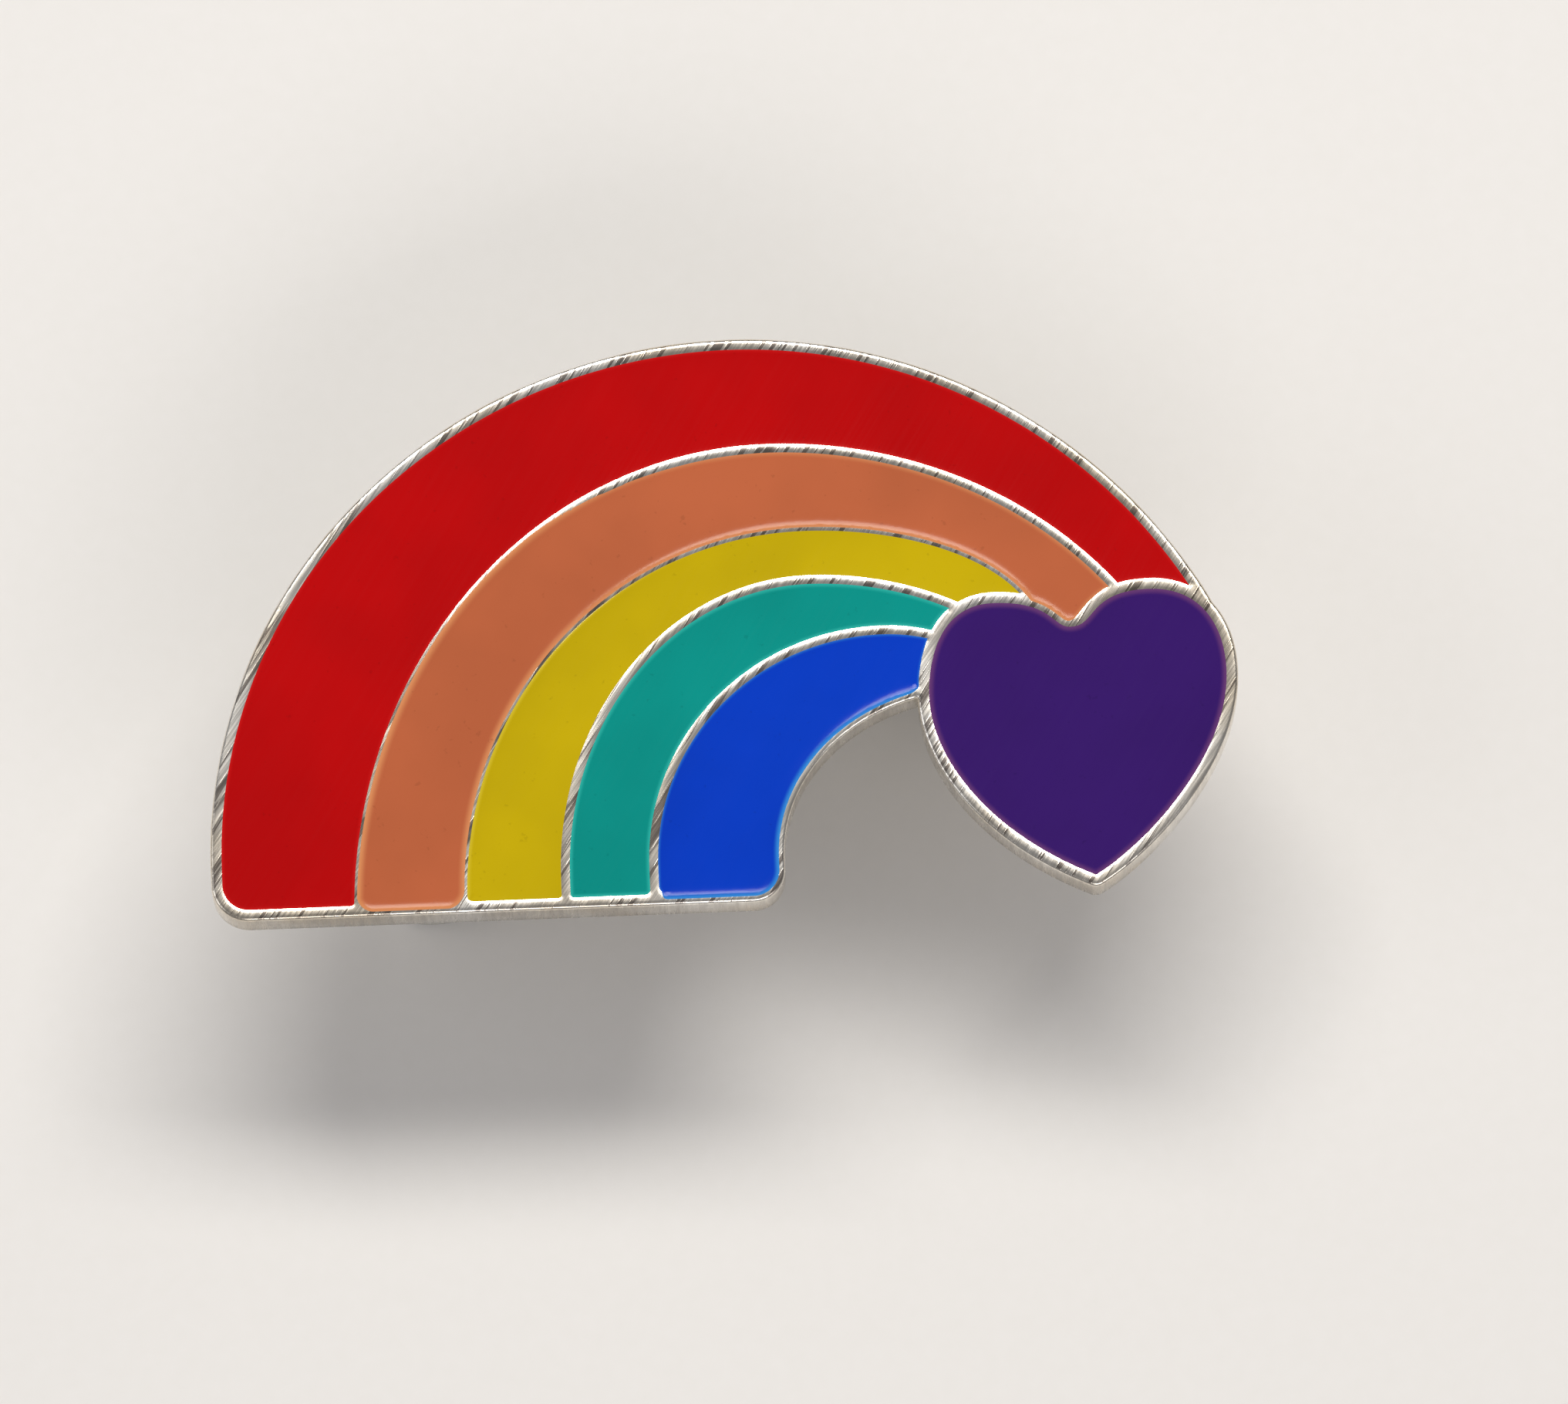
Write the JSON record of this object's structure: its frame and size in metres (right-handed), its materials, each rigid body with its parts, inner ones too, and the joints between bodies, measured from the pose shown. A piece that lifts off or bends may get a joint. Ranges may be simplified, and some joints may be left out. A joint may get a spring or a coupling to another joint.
{
  "type": "enamel lapel pin",
  "caption": "Rainbow with a heart at its right end: a struck metal lapel pin in hard enamel, with two posts and butterfly clutches whose wings squeeze to let go.",
  "frame": {"origin": "on the flat back face of the badge, midway between its two posts", "axes": "+X towards the badge's right, where the heart is; +Y towards its top; +Z out of the enamelled face. The posts and clutches reach down to -Z."},
  "size_m": [0.0303, 0.017, 0.0086],
  "materials": {
    "nickel": "bright nickel plate, polished on the face with fine diagonal polishing marks and sandblasted on the back",
    "enamel_red": "hard enamel, ground flat and polished",
    "enamel_orange": "hard enamel, ground flat and polished",
    "enamel_yellow": "hard enamel, ground flat and polished",
    "enamel_teal": "hard enamel, ground flat and polished",
    "enamel_blue": "hard enamel, ground flat and polished",
    "enamel_purple": "hard enamel, ground flat and polished",
    "post_metal": "nickel-plated brass",
    "solder": "dull braze",
    "clutch_nickel": "pressed brass sheet, nickel-plated",
    "wing_metal": "pressed brass sheet, nickel-plated",
    "spring_wire": "hard-drawn steel wire"
  },
  "bodies": {
    "badge": {"badge_plate": "nickel", "enamel_red": "enamel_red", "enamel_orange": "enamel_orange", "enamel_yellow": "enamel_yellow", "enamel_teal": "enamel_teal", "enamel_blue": "enamel_blue", "enamel_purple": "enamel_purple", "post_left": "post_metal", "post_right": "post_metal", "solder_left": "solder", "solder_right": "solder"},
    "clutch_left": {"clutch_left_shell": "clutch_nickel", "clutch_left_face": "clutch_nickel", "clutch_left_spring": "spring_wire"},
    "wing_left_upper": {"clutch_left_wing_upper": "wing_metal"},
    "wing_left_lower": {"clutch_left_wing_lower": "wing_metal"},
    "clutch_right": {"clutch_right_shell": "clutch_nickel", "clutch_right_face": "clutch_nickel", "clutch_right_spring": "spring_wire"},
    "wing_right_upper": {"clutch_right_wing_upper": "wing_metal"},
    "wing_right_lower": {"clutch_right_wing_lower": "wing_metal"}
  },
  "joints": [
    {"name": "clutch_left_pull", "type": "slide", "parent": "badge", "child": "clutch_left", "axis": [0, 0, -1], "range_m": [0, 0.008]},
    {"name": "clutch_left_squeeze", "type": "slide", "parent": "clutch_left", "child": "wing_left_upper", "axis": [-0.6428, -0.766, 0], "range_m": [0, 0.00065], "stiffness_N_per_m": 600, "springref_m": -0.0005, "deforming": ["clutch_left_spring"]},
    {"name": "clutch_left_squeeze_lower", "type": "slide", "parent": "clutch_left", "child": "wing_left_lower", "axis": [0.6428, 0.766, 0], "range_m": [0, 0.00065], "stiffness_N_per_m": 600, "springref_m": -0.0005},
    {"name": "clutch_right_pull", "type": "slide", "parent": "badge", "child": "clutch_right", "axis": [0, 0, -1], "range_m": [0, 0.008]},
    {"name": "clutch_right_squeeze", "type": "slide", "parent": "clutch_right", "child": "wing_right_upper", "axis": [-0.866, 0.5, 0], "range_m": [0, 0.00065], "stiffness_N_per_m": 600, "springref_m": -0.0005, "deforming": ["clutch_right_spring"]},
    {"name": "clutch_right_squeeze_lower", "type": "slide", "parent": "clutch_right", "child": "wing_right_lower", "axis": [0.866, -0.5, 0], "range_m": [0, 0.00065], "stiffness_N_per_m": 600, "springref_m": -0.0005}
  ],
  "couplings": [
    {"joint": "clutch_left_squeeze_lower", "follows": "clutch_left_squeeze", "ratio": 1},
    {"joint": "clutch_right_squeeze_lower", "follows": "clutch_right_squeeze", "ratio": 1}
  ]
}
